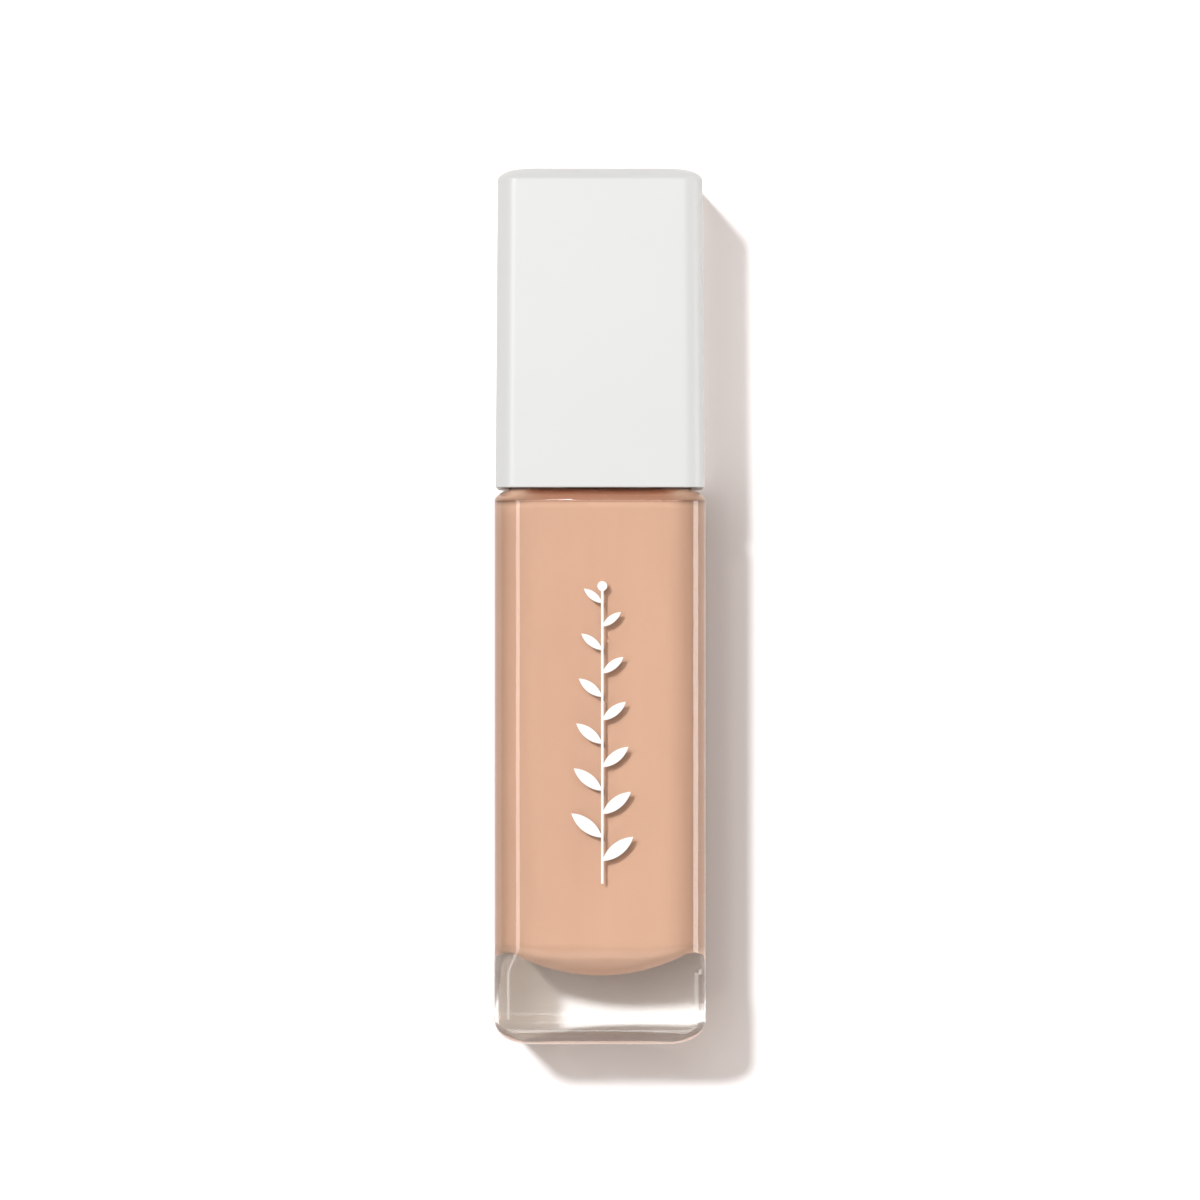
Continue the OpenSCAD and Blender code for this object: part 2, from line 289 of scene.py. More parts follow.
def floor_sections():
    """(half width, corner radius, z) of the domed floor, from its middle out to the side wall."""
    rise = DOME_R - math.sqrt(DOME_R ** 2 - DOME_HALF ** 2)
    tilt = math.asin(DOME_HALF / DOME_R)
    bend = (CAVITY_HALF - DOME_HALF) / (1 - math.sin(tilt))
    halves = np.linspace(0.4, DOME_HALF, 22)
    out = [(h, BASE_T + DOME_R - math.sqrt(DOME_R ** 2 - h * h)) for h in halves]
    for a in np.linspace(tilt, math.pi / 2, 19)[1:]:
        out.append((CAVITY_HALF - bend * (1 - math.sin(a)),
                    BASE_T + rise + bend * (math.cos(tilt) - math.cos(a))))
    return [(h, cavity_corner_at(h), z) for h, z in out]


def cavity_rings(angles, inner, swell=0.0):
    """The cavity's wall, from the ceiling's hole, of radius inner, out and down to the floor's middle."""
    top = CAVITY_TOP + swell
    half_top = CAVITY_HALF - CAVITY_EDGE
    rings = [ring(inner, top, angles), ring(inner + 0.4, top, angles)]
    for t in (0.35, 0.7):
        square = square_reach(half_top, CAVITY_CORNER - CAVITY_EDGE / 2, angles)
        rings.append(ring((inner + 0.4) * (1 - t) + square * t, top, angles))
    for t in np.linspace(90, 0, 15):
        inset = CAVITY_EDGE * (1 - math.cos(math.radians(t)))
        z = CAVITY_TOP - CAVITY_EDGE + (CAVITY_EDGE + swell) * math.sin(math.radians(t))
        corner = CAVITY_CORNER - inset / 2 + swell
        rings.append(square_ring(CAVITY_HALF - inset + swell, corner, z, angles))
    sections = floor_sections()[::-1]
    for z in np.linspace(CAVITY_TOP - CAVITY_EDGE, sections[0][2], 26)[1:-1]:
        rings.append(square_ring(CAVITY_HALF + swell, CAVITY_CORNER + swell, z, angles))
    for half, corner, z in sections:
        rings.append(square_ring(half + swell, corner + swell, z - swell, angles))
    return rings


def body_corner_at(z):
    low, high = CORNER_CHANGE
    return BASE_CORNER + (BODY_CORNER - BASE_CORNER) * float(smooth_step((z - low) / (high - low)))


def glass_body(material):
    """One closed skin: underside, sides, shoulder, neck with its thread, bore and cavity."""
    angles = corner_angles()
    rings = [ring(r, RECESS_H, angles) for r in (1.0, 3.0, 5.0, 7.0, 7.8)]
    edge = RECESS_ROUND
    rings += lathe(arc_points((RECESS_R - edge, RECESS_H - edge), edge, 90, 0, 4), angles)
    rings += lathe(arc_points((RECESS_R + edge, edge), edge, 180, 270, 4), angles)
    for t in np.radians(np.linspace(90, 0, 25)):
        inset, z = BASE_EDGE[0] * (1 - math.cos(t)), BASE_EDGE[1] * (1 - math.sin(t))
        rings.append(square_ring(BODY_HALF - inset, BASE_CORNER, z, angles))
    side_top = SHOULDER_Z - SHOULDER_EDGE[1]
    low, high = CORNER_CHANGE
    heights = np.concatenate([np.linspace(BASE_EDGE[1], low, 4)[1:], np.linspace(low, high, 13)[1:],
                              np.linspace(high, side_top, 18)[1:-1]])
    rings += [square_ring(BODY_HALF, body_corner_at(z), z, angles) for z in heights]
    for t in np.radians(np.linspace(0, 90, 19)):
        inset, z = SHOULDER_EDGE[0] * (1 - math.cos(t)), side_top + SHOULDER_EDGE[1] * math.sin(t)
        rings.append(square_ring(BODY_HALF - inset, BODY_CORNER, z, angles))
    rings += lathe([(NECK_R + 2 * NECK_FILLET, SHOULDER_Z)], angles)
    fillet = (NECK_R + NECK_FILLET, SHOULDER_Z + NECK_FILLET)
    rings += lathe(arc_points(fillet, NECK_FILLET, 270, 180, 6), angles)
    for z in np.arange(SHOULDER_Z + NECK_FILLET + THREAD_STEP, MOUTH_Z - 0.55, THREAD_STEP):
        rings.append(ring(NECK_R + thread_height(z, angles, THREAD_Z), z, angles))
    rings += lathe(arc_points((NECK_R - LIP_ROUND, MOUTH_Z - LIP_ROUND), LIP_ROUND, 0, 90, 6), angles)
    rings += lathe([(6.6, MOUTH_Z)], angles)
    rings += lathe(arc_points((BORE_R + BORE_ROUND, MOUTH_Z - BORE_ROUND), BORE_ROUND, 90, 180, 5), angles)
    rings += lathe([(BORE_R, z) for z in np.linspace(MOUTH_Z - 0.8, CAVITY_TOP + 0.6, 8)], angles)
    rings += lathe(arc_points((BORE_R + BORE_FOOT, CAVITY_TOP + BORE_FOOT), BORE_FOOT, 180, 270, 5), angles)
    rings += cavity_rings(angles, BORE_R + 0.9)
    points, faces = skin(rings)
    return mesh_object("glass_body", points, faces, "bottle", ["glass_bottle"], material)


def liquid_fill(material):
    angles = corner_angles()
    rings = lathe([(r, CHANNEL_Z) for r in (1.2, 2.6)], angles)
    edge = CHANNEL_ROUND
    rings += lathe(arc_points((CHANNEL_R - edge, CHANNEL_Z + edge), edge, 270, 360, 4), angles)
    rings += lathe([(CHANNEL_R, z) for z in np.linspace(CHANNEL_Z + 1, CAVITY_TOP - 0.3, 12)], angles)
    rings += lathe([(CHANNEL_R + 0.05, CAVITY_TOP - 0.08)], angles)
    rings += cavity_rings(angles, CHANNEL_R + 0.2, SWELL)
    points, faces = skin(rings)
    return mesh_object("foundation_liquid", points, faces, "bottle", ["foundation_fill"],
                       material)


# ---------------------------------------------------------------- shapes of the cap

def cap_outer(material):
    angles = corner_angles()
    rings = [square_ring(h, h * 0.5, CAP_HIGH.z, angles) for h in (1.5, 4.0, 7.0, 9.0)]
    for t in np.radians(np.linspace(90, 0, 25)):
        inset = CAP_EDGE[0] * (1 - math.cos(t))
        z = CAP_HIGH.z - CAP_EDGE[1] * (1 - math.sin(t))
        rings.append(square_ring(CAP_HALF_TOP - inset, CAP_CORNER, z, angles))
    for t in np.linspace(0, 1, 14)[1:]:
        z = CAP_HIGH.z - CAP_EDGE[1] + t * (CAP_LOW.z + CAP_RIM - CAP_HIGH.z + CAP_EDGE[1])
        rings.append(square_ring(CAP_HALF_TOP + t * (CAP_HALF - CAP_HALF_TOP), CAP_CORNER, z, angles))
    for t in np.radians([25, 50, 70, 90]):
        rings.append(square_ring(CAP_HALF - CAP_RIM * (1 - math.cos(t)), CAP_CORNER,
                                 CAP_LOW.z + CAP_RIM * (1 - math.sin(t)), angles))
    mouth_half = CAP_HALF - CAP_WALL
    for t in np.radians([90, 60, 30, 0]):
        out = MOUTH_ROUND * (1 - math.cos(t))
        z = CAP_LOW.z + MOUTH_ROUND * (1 - math.sin(t))
        rings.append(square_ring(mouth_half + out, POCKET_CORNER + out, z, angles))
    roof_half = CAP_HALF_TOP - CAP_WALL
    roof_z = CAP_HIGH.z - CAP_ROOF
    for t in np.linspace(0, 1, 8)[1:]:
        z = CAP_LOW.z + MOUTH_ROUND + t * (roof_z - POCKET_ROUND - MOUTH_ROUND - CAP_LOW.z)
        rings.append(square_ring(mouth_half + t * (roof_half - mouth_half), POCKET_CORNER, z, angles))
    for t in np.radians(np.linspace(20, 90, 5)):
        inset, z = POCKET_ROUND * (1 - math.cos(t)), roof_z - POCKET_ROUND * (1 - math.sin(t))
        rings.append(square_ring(roof_half - inset, POCKET_CORNER, z, angles))
    rings += [square_ring(h, h * 0.5, roof_z, angles) for h in (8.0, 4.0, 1.5)]
    points, faces = skin(rings)
    return mesh_object("cap_cover", points, faces, "cap", ["cap_shell"], material)


def cap_inside(material):
    """The round sleeve and the centring tube inside the cap."""
    angles = even_angles(96)
    parts = []
    edge = 0.1
    for outer, inner, low, high in ((12.4, 11.3, LINER_LOW.z + 1, LINER_LOW.z + 21),
                                    (5.6, 4.6, LINER_HIGH.z - 3, CAP_HIGH.z - CAP_ROOF + 0.3)):
        loop = [(inner + edge, low), (outer - edge, low), (outer, low + edge), (outer, high - edge),
                (outer - edge, high), (inner + edge, high), (inner, high - edge), (inner, low + edge)]
        parts.append(skin(lathe(loop, angles), closed_loop=True))
    points, faces = join_parts(parts)
    return mesh_object("cap_sleeve", points, faces, "cap", [], material)


def inner_cap(material):
    """The threaded liner: a socket for the stem's head, the bore, a flange, grip ribs and the boss."""
    angles = even_angles(RIB_COUNT * RIB_STEPS)
    roof_z, roof_top = SEAL_HIGH.z, SEAL_HIGH.z + LINER_ROOF
    flange_low, flange_high = LINER_LOW.z, LINER_LOW.z + LINER_FLANGE
    flange_half, flange_edge = LINER_HIGH.x, 0.12
    socket_top = LINER_HIGH.z - 1.45
    groove = SOCKET_R + 0.25
    rings = lathe([(0.8, socket_top), (2.0, socket_top), (SOCKET_R - 0.1, socket_top),
                   (SOCKET_R, socket_top - 0.1), (SOCKET_R, SNAP_Z + 0.6), (groove, SNAP_Z + 0.1),
                   (groove, SNAP_Z - 0.1), (SOCKET_R, SNAP_Z - 0.6), (SOCKET_R, roof_z + 0.3)], angles)
    edge = SOCKET_ROUND
    rings += lathe(arc_points((SOCKET_R + edge, roof_z + edge), edge, 180, 270, 4), angles)
    rings += lathe([(r, roof_z) for r in (4.0, 6.0, 8.0)], angles)
    edge = LINER_ROUND
    rings += lathe(arc_points((LINER_BORE_R - edge, roof_z - edge), edge, 90, 0, 4), angles)
    crest = LINER_BORE_R - NECK_R - THREAD_H - THREAD_CLEARANCE
    for z in np.arange(roof_z - 0.5, flange_low + 0.3, -THREAD_STEP):
        out = thread_height(z, angles, THREAD_Z - THREAD_PITCH / 2) * crest / THREAD_H
        rings.append(ring(LINER_BORE_R - out, z, angles))
    rings += lathe(arc_points((LINER_BORE_R + 0.2, flange_low + 0.2), 0.2, 180, 270, 4), angles)
    outline = square_reach(flange_half - flange_edge, POCKET_CORNER, angles)
    for t in (0.3, 0.65, 1.0):
        rings.append(ring((LINER_BORE_R + 0.2) * (1 - t) + outline * t, flange_low, angles))
    rings.append(square_ring(flange_half, POCKET_CORNER, flange_low + flange_edge, angles))
    rings.append(square_ring(flange_half, POCKET_CORNER, flange_high - flange_edge, angles))
    rings.append(square_ring(flange_half - flange_edge, POCKET_CORNER, flange_high, angles))
    rings.append(ring(LINER_WALL_R + 0.25, flange_high, angles))
    rib = (np.arange(len(angles)) % RIB_STEPS) < 2
    rib_low, rib_high = CAP_LOW.z + 4, CAP_LOW.z + 18
    for z, out in ((flange_high + 0.25, 0), (rib_low - 0.1, 0), (rib_low, RIB_H), (rib_high, RIB_H),
                   (rib_high + 0.1, 0)):
        rings.append(ring(LINER_WALL_R + out * rib, z, angles))
    rings += lathe(arc_points((LINER_WALL_R - edge, roof_top - edge), edge, 0, 90, 4), angles)
    rings += lathe([(7.5, roof_top)], angles)
    fillet = (BOSS_R + BOSS_FILLET, roof_top + BOSS_FILLET)
    rings += lathe(arc_points(fillet, BOSS_FILLET, 270, 180, 5), angles)
    rings += lathe([(BOSS_R, LINER_HIGH.z - 2)], angles)
    rings += lathe(arc_points((BOSS_R - edge, LINER_HIGH.z - edge), edge, 0, 90, 4), angles)
    rings += lathe([(2.0, LINER_HIGH.z)], angles)
    points, faces = skin(rings)
    return mesh_object("inner_cap_liner", points, faces, "cap", ["inner_cap"],
                       material)


def gusset_fins(material):
    """Four fins that brace the inner cap's boss."""
    roof_top = SEAL_HIGH.z + LINER_ROOF
    inside, foot, height = BOSS_R - 0.3, 8.5, 4.0
    outline = [(inside, roof_top - 0.3), (foot, roof_top - 0.3), (foot, roof_top),
               (BOSS_R, roof_top + height), (inside, roof_top + height)]
    parts = []
    for k in range(4):
        a = math.radians(45 + 90 * k)
        along, across = np.array([math.cos(a), math.sin(a), 0]), np.array([-math.sin(a), math.cos(a), 0])
        loops = [np.array([along * r + across * side + np.array([0, 0, z]) for r, z in outline])
                 for side in (-FIN_HALF, FIN_HALF)]
        parts.append(skin(loops))
    points, faces = join_parts(parts)
    return mesh_object("inner_cap_fins", points, faces, "cap", [], material)


# ---------------------------------------------------------------- shapes of the wand, wiper and gasket

def wiper(material):
    angles = even_angles(128)
    low, high = WIPER_LOW.z, WIPER_HIGH.z
    sleeve, bead, wall, hole, flange = BORE_R - 0.05, BORE_R + 0.01, 0.8, 3.4, WIPER_HIGH.x
    cone = low + 3.5
    out = [(hole, low + 0.12), (hole + 0.12, low), (hole + 0.4, low), (hole + 0.52, low + 0.08)]
    out += [(sleeve - 0.15, cone - 0.15), (sleeve, cone + 0.15)]
    for z in (cone + 1.5, cone + 3.5, cone + 5.5):
        out += [(sleeve, z - 0.4), (bead, z - 0.08), (bead, z + 0.08), (sleeve, z + 0.4)]
    under = high - 0.91
    out += [(sleeve, under), (flange - 0.1, under), (flange, under + 0.1), (flange, high - 0.25)]
    out += arc_points((flange - 0.25, high - 0.25), 0.25, 20, 90, 4)
    inner = sleeve - wall
    out += arc_points((inner + 0.4, high - 0.4), 0.4, 90, 180, 5)
    out += [(inner, cone + 0.5), (inner - 0.05, cone + 0.2)]
    points, faces = skin(lathe(out, angles), closed_loop=True)
    return mesh_object("wiper_plug", points, faces, "bottle", ["neck_wiper"], material)


def gasket(material):
    angles = even_angles(96)
    low, high, outer, inner, r = SEAL_LOW.z, SEAL_HIGH.z, SEAL_HIGH.x, 4.1, 0.15
    loop = []
    for cx, cz, start in ((outer - r, high - r, 0), (inner + r, high - r, 90),
                          (inner + r, low + r, 180), (outer - r, low + r, 270)):
        loop += arc_points((cx, cz), r, start, start + 90, 4)
    points, faces = skin(lathe(loop, angles), closed_loop=True)
    return mesh_object("gasket_ring", points, faces, "gasket", ["seal_ring"], material)


def wand_stem(material):
    """From the spigot in the tip up to the head that snaps into the inner cap."""
    angles = even_angles(72)
    roof, tip_top = SEAL_HIGH.z, TIP_HIGH.z
    collar_r, head_r, snap_r = 4.3, 3.8, 2.95
    neck_r = SOCKET_R - 0.05
    profile = [(0.6, STEM_LOW.z), (1.2, STEM_LOW.z), (SPIGOT_R, STEM_LOW.z + 0.4), (SPIGOT_R, tip_top)]
    profile += arc_points((STEM_R - 0.2, tip_top + 0.2), 0.2, 270, 360, 3)
    profile += [(STEM_R, z) for z in np.linspace(tip_top + 3, COLLAR_TOP - 1.8, 16)]
    profile += arc_points((STEM_R + 0.4, COLLAR_TOP - 1.4), 0.4, 180, 110, 4)
    profile += arc_points((collar_r - 0.15, COLLAR_TOP - 0.85), 0.15, 290, 360, 3)
    profile += arc_points((collar_r - 0.15, COLLAR_TOP - 0.15), 0.15, 0, 90, 3)
    profile += arc_points((STEM_R + 0.3, COLLAR_TOP + 0.3), 0.3, 270, 180, 4)
    profile += arc_points((STEM_R + 0.3, roof - 1.5), 0.3, 180, 110, 4)
    profile += [(head_r - 0.1, roof - 1.2), (head_r, roof - 1.1), (head_r, roof - 0.1),
                (head_r - 0.1, roof), (neck_r + 0.05, roof), (neck_r, roof + 0.05)]
    profile += [(neck_r, SNAP_Z - 0.5), (snap_r, SNAP_Z - 0.05)]
    profile += [(snap_r, SNAP_Z + 0.05), (neck_r, SNAP_Z + 0.5)]
    profile += [(neck_r, STEM_HIGH.z - 0.4), (2.3, STEM_HIGH.z), (1.0, STEM_HIGH.z)]
    points, faces = skin(lathe(profile, angles))
    return mesh_object("wand_stem", points, faces, "stem", ["applicator_stem"], material)


def tip_section(z, inset):
    """(half width, half depth, middle y) of the doe-foot at height z above its lowest point."""
    back = TIP_HIGH.x - inset
    t = np.clip(z / TIP_SLANT, 0, 1)
    front = (back - 2 * TIP_END_R + inset) * (1 - t) - back * t
    wide = (TIP_END_R - 0.2 * inset) + (back - TIP_END_R) * (1 - (1 - t) ** 1.5)
    round_end = math.sqrt(max(0.0, 1 - (1 - min(1, z / TIP_ROUND)) ** 2))
    return wide * round_end, (back - front) / 2 * round_end, (back + front) / 2


def tip_rings(angles, inset):
    length = TIP_HIGH.z - TIP_LOW.z
    rounded = TIP_ROUND * (1 - np.cos(np.radians([8, 20, 34, 48, 62, 76, 90])))
    rings = []
    for z in np.concatenate([rounded, np.linspace(TIP_ROUND + 0.5, length - inset, 24)]):
        wide, deep, middle = tip_section(z, inset)
        x, y = wide * np.cos(angles), deep * np.sin(angles) + middle
        rings.append(np.stack([x, y, np.full_like(x, TIP_LOW.z + inset + z)], axis=1))
    return rings


def doe_foot(skin_material, core_material):
    """The tip's bored core, and the flocked skin with its fibres."""
    angles = even_angles(64)
    outer, inner = tip_rings(angles, 0.04), tip_rings(angles, FLOCK_DEPTH)
    bore_r, bore_depth = SPIGOT_R + 0.06, 9.5
    core = inner + lathe([(2.7, TIP_HIGH.z), (bore_r, TIP_HIGH.z), (bore_r, TIP_HIGH.z - bore_depth),
                          (0.8, TIP_HIGH.z - bore_depth)], angles)
    points, faces = skin(core)
    mesh_object("tip_core_body", points, faces, "cap", ["tip_core"], core_material)
    top_z = outer[-1][0][2]
    rim = lathe([(TIP_HIGH.x - 0.12, top_z + 0.03), (2.9, top_z - 0.05), (1.7, top_z - 0.08)], angles)
    points, faces = join_parts([skin(outer + rim), flock_fibres(outer)])
    return mesh_object("tip_flock", points, faces, "cap", ["tip_flocking"], skin_material)


def flock_fibres(rings):
    """Thousands of short fibres that stand on the tip's skin."""
    rng = np.random.default_rng(7)
    grid = np.array(rings)
    count_z, count_a = grid.shape[:2]
    thick, root = 0.022, 0.03
    points, faces = [], []
    for _ in range(FIBRE_COUNT):
        k, i = rng.integers(0, count_z - 1), rng.integers(0, count_a)
        u, v = rng.random(2)
        j = (i + 1) % count_a
        low = grid[k, i] * (1 - u) + grid[k, j] * u
        high = grid[k + 1, i] * (1 - u) + grid[k + 1, j] * u
        base = low * (1 - v) + high * v
        across = grid[k, j] - grid[k, i]
        normal = np.cross(across, high - low)
        size = np.linalg.norm(normal)
        if size < 1e-6 or np.linalg.norm(across) < 0.05:
            continue
        normal = normal / size
        lean = normal + rng.normal(0, 0.35, 3)
        lean /= np.linalg.norm(lean)
        side = np.cross(lean, [0.3, 0.2, 1.0])
        side /= np.linalg.norm(side)
        other = np.cross(lean, side)
        start = len(points)
        tip = base + lean * rng.uniform(0.1, 0.2)
        tip[2] = max(tip[2], TIP_LOW.z + 0.01)
        points += [base - normal * root + thick * (side * math.cos(a) + other * math.sin(a))
                   for a in (0, 2.094, 4.189)]
        points.append(tip)
        faces += [[start, start + 1, start + 3], [start + 1, start + 2, start + 3],
                  [start + 2, start, start + 3], [start, start + 2, start + 1]]
    points = np.array(points)
    reach = TIP_HIGH.x - 0.005
    points[:, :2] = np.clip(points[:, :2], -reach, reach)
    return points, faces


# ---------------------------------------------------------------- materials

def rgb(*values):
    """A linear colour from sRGB bytes."""
    return tuple(((v / 255 + 0.055) / 1.055) ** 2.4 if v > 10 else v / 255 / 12.92 for v in values)


GLASS_TINTS = (0.975, 0.985, 0.98), (0.99, 0.995, 0.99)
GLASS_DIM = (0.02, 0.014, 0.009)           # how much of the room's light passes it to a surface behind
GLASS_SIDE_LIGHT = (0.05, 0.045, 0.04)     # how much of a lamp's light passes its sides and round edges
GLASS_FACE_LIGHT = (1.0, 1.0, 1.0)         # and its flat front and back
GLASS_INSIDE_LIGHT = (0.95, 0.95, 0.95)    # and how much of it reaches the liquid
LIQUID_DARK, LIQUID_LIGHT = rgb(187, 149, 125), rgb(193, 155, 131)
LIQUID_PAINTED_SHADE = rgb(165, 105, 78)            # painted shade under the shoulder, where the cap shades it
LIQUID_PAINTED_LIGHT = rgb(236, 196, 170)           # painted light where it curves down, standing for light taken through the base
CAP_COOL, CAP_WARM = (0.645, 0.652, 0.645), (0.657, 0.662, 0.65)
PAPER, FIBRE = rgb(240, 238, 235), rgb(200, 196, 190)
SWATCH, BORDER = rgb(226, 178, 150), rgb(150, 140, 134)
LABEL_REACH = 8.0                          # radius that the label's pattern is worked out over
SWATCH_R, BORDER_INNER_R, BORDER_R = 3.36, 7.2, 7.36


class Shader:
    """A small builder for the nodes of one material, or of the world."""

    def __init__(self, owner, output="ShaderNodeOutputMaterial"):
        self.owner = owner
        owner.use_nodes = True
        self.tree = owner.node_tree
        self.tree.nodes.clear()
        self.out = self.add(output)
        self.coordinates = self.add("ShaderNodeTexCoord").outputs

    def add(self, kind, **values):
        node = self.tree.nodes.new(kind)
        for key, value in values.items():
            setattr(node, key, value)
        return node

    def link(self, source, target):
        self.tree.links.new(source, target)

    def feed(self, socket, value):
        """Links a socket or sets a constant. A colour has three numbers."""
        if isinstance(value, bpy.types.NodeSocket):
            self.link(value, socket)
        elif isinstance(value, tuple):
            socket.default_value = (*value, 1.0)
        else:
            socket.default_value = value

    def placed(self, scale):
        node = self.add("ShaderNodeMapping")
        self.link(self.coordinates["Object"], node.inputs["Vector"])
        node.inputs["Scale"].default_value = scale
        return node.outputs["Vector"]

    def noise(self, per_mm, detail=3.0, roughness=0.5, stretch=(1, 1, 1), distortion=0.0):
        """Noise with about per_mm lumps in a millimetre."""
        node = self.add("ShaderNodeTexNoise")
        self.link(self.placed(tuple(k * per_mm / MM for k in stretch)), node.inputs["Vector"])
        node.inputs["Scale"].default_value = 1.0
        node.inputs["Detail"].default_value = detail
        node.inputs["Roughness"].default_value = roughness
        node.inputs["Distortion"].default_value = distortion
        return node.outputs["Fac"]

    def cells(self, per_mm):
        node = self.add("ShaderNodeTexVoronoi")
        self.link(self.placed((per_mm / MM,) * 3), node.inputs["Vector"])
        node.inputs["Scale"].default_value = 1.0
        return node.outputs["Distance"]

    def span(self, value, low, high, from_low=0.0, from_high=1.0):
        """Low at from_low, high at from_high, and clamped outside."""
        node = self.add("ShaderNodeMapRange")
        self.feed(node.inputs["Value"], value)
        ends = ("From Min", from_low), ("From Max", from_high), ("To Min", low), ("To Max", high)
        for key, number in ends:
            node.inputs[key].default_value = number
        return node.outputs["Result"]

    def ramp(self, value, stops, interpolation="LINEAR"):
        node = self.add("ShaderNodeValToRGB")
        self.feed(node.inputs["Fac"], value)
        node.color_ramp.interpolation = interpolation
        elements = node.color_ramp.elements
        while len(elements) < len(stops):
            elements.new(0.5)
        for element, (place, colour) in zip(elements, stops):
            element.position = place
            element.color = (*colour, 1.0)
        return node.outputs["Color"]

    def math(self, operation, a, b=0.0, clamp=False):
        node = self.add("ShaderNodeMath", operation=operation, use_clamp=clamp)
        self.feed(node.inputs[0], a)
        self.feed(node.inputs[1], b)
        return node.outputs[0]

    def times(self, a, b):
        return self.math("MULTIPLY", a, b)

    def without(self, a):
        return self.math("SUBTRACT", 1.0, a)

    def any_of(self, count):
        """1 if a count from Light Path is above 0."""
        return self.math("MINIMUM", count, 1.0)

    def mix(self, share, a, b):
        node = self.add("ShaderNodeMix", data_type="RGBA")
        self.feed(node.inputs["Factor"], share)
        self.feed(node.inputs["A"], a)
        self.feed(node.inputs["B"], b)
        return node.outputs["Result"]

    def split(self, vector):
        node = self.add("ShaderNodeSeparateXYZ")
        self.link(vector, node.inputs[0])
        return node.outputs

    def radius(self):
        """Distance from the bottle's axis."""
        x, y, _ = self.split(self.coordinates["Object"])
        return self.math("SQRT", self.math("ADD", self.times(x, x), self.times(y, y)))

    def bump(self, height, depth_mm, before=None):
        node = self.add("ShaderNodeBump")
        self.feed(node.inputs["Height"], height)
        node.inputs["Distance"].default_value = depth_mm * MM
        node.inputs["Strength"].default_value = 1.0
        if before is not None:
            self.link(before, node.inputs["Normal"])
        return node.outputs["Normal"]

    def principled(self, **values):
        node = self.add("ShaderNodeBsdfPrincipled")
        for key, value in values.items():
            self.feed(node.inputs[key.replace("_", " ")], value)
        return node.outputs[0]

    def join(self, share, a, b):
        """Shader a, or shader b where share is 1."""
        node = self.add("ShaderNodeMixShader")
        for socket, source in zip(node.inputs, (share, a, b)):
            self.link(source, socket)
        return node.outputs[0]

    def done(self, surface):
        self.link(surface, self.out.inputs["Surface"])
        return self.owner


def material_shader(name):
    return Shader(bpy.data.materials.new(name))


def glass_material():
    """Clear glass.

    A lamp's light goes straight through it on the way to a surface behind, where real light would be
    bent. So it passes well only between two faces that it meets nearly head on, the flat front and back,
    and hardly at all through the sides and the rounded edges, which would throw it elsewhere.
    """
    s = material_shader("clear_glass")
    waves = s.bump(s.noise(0.09, 2.0, 0.4), 0.02)
    seeds = s.bump(s.noise(0.6, 2.0), 0.0006, waves)
    tint = s.ramp(s.noise(0.05, 1.0), [(0.3, GLASS_TINTS[0]), (0.7, GLASS_TINTS[1])])
    side, path = s.add("ShaderNodeNewGeometry").outputs, s.add("ShaderNodeLightPath").outputs
    entering = s.without(side["Backfacing"])
    gathered = s.times(entering, s.any_of(path["Diffuse Depth"]))
    body = s.principled(Base_Color=s.mix(gathered, tint, GLASS_DIM), Roughness=0.0, IOR=1.5,
                        Transmission_Weight=1.0, Normal=seeds)
    head_on = s.span(s.math("ABSOLUTE", s.split(side["Normal"])[1]), 0, 1, 0.75, 0.95)
    across = s.mix(head_on, GLASS_SIDE_LIGHT, GLASS_FACE_LIGHT)
    from_outside = s.math("MAXIMUM", entering, s.any_of(path["Transparent Depth"]))
    lamp_way = s.add("ShaderNodeBsdfTransparent")
    s.link(s.mix(from_outside, GLASS_INSIDE_LIGHT, across), lamp_way.inputs["Color"])
    return s.done(s.join(path["Is Shadow Ray"], body, lamp_way.outputs[0]))


def liquid_material():
    s = material_shader("foundation_liquid")
    flow = s.noise(0.12, 3.0, 0.55, stretch=(1.4, 1.4, 0.12), distortion=0.4)
    speck = s.noise(1.6, 2.0)
    share = s.math("ADD", s.times(flow, 0.85), s.times(speck, 0.15))
    colour = s.ramp(share, [(0.2, LIQUID_DARK), (0.8, LIQUID_LIGHT)])
    z = s.split(s.coordinates["Object"])[2]
    # painted shade: the liquid is darker just under the shoulder, standing for the cap's shade
    shoulder_painted_shade = s.span(z, 0, 1, (CAVITY_TOP - 0.35) * MM, (CAVITY_TOP - 0.05) * MM)
    colour = s.mix(shoulder_painted_shade, colour, LIQUID_PAINTED_SHADE)
    # painted light: paler where the liquid faces down, standing for light through the base
    facing_up = s.split(s.add("ShaderNodeNewGeometry").outputs["Normal"])[2]
    down_painted_light = s.math("POWER", s.span(facing_up, 0, 1, -0.3, -0.95), 1.3)
    colour = s.mix(down_painted_light, colour, LIQUID_PAINTED_LIGHT)
    return s.done(s.principled(Base_Color=colour, Roughness=s.span(flow, 0.42, 0.55), IOR=1.12,
                               Normal=s.bump(flow, 0.02)))


def cap_material():
    s = material_shader("cap_satin_plastic")
    cloud, grain, fine = s.noise(0.05, 2.0), s.noise(2.2, 3.0, 0.6), s.noise(9.0, 2.0, 0.6)
    colour = s.ramp(cloud, [(0.3, CAP_COOL), (0.7, CAP_WARM)])
    normal = s.bump(fine, 0.0012, s.bump(grain, 0.0016))
    return s.done(s.principled(Base_Color=colour, Roughness=s.span(grain, 0.36, 0.46), IOR=1.47,
                               Coat_Weight=0.12, Coat_Roughness=0.28, Normal=normal))


def plastic_material(name, low, high, rough):
    s = material_shader(name)
    cloud, grain = s.noise(0.2, 2.0), s.noise(1.5, 3.0, 0.6)
    colour = s.ramp(cloud, [(0.3, low), (0.7, high)])
    return s.done(s.principled(Base_Color=colour, Roughness=s.span(grain, rough - 0.06, rough + 0.06),
                               Normal=s.bump(grain, 0.002)))


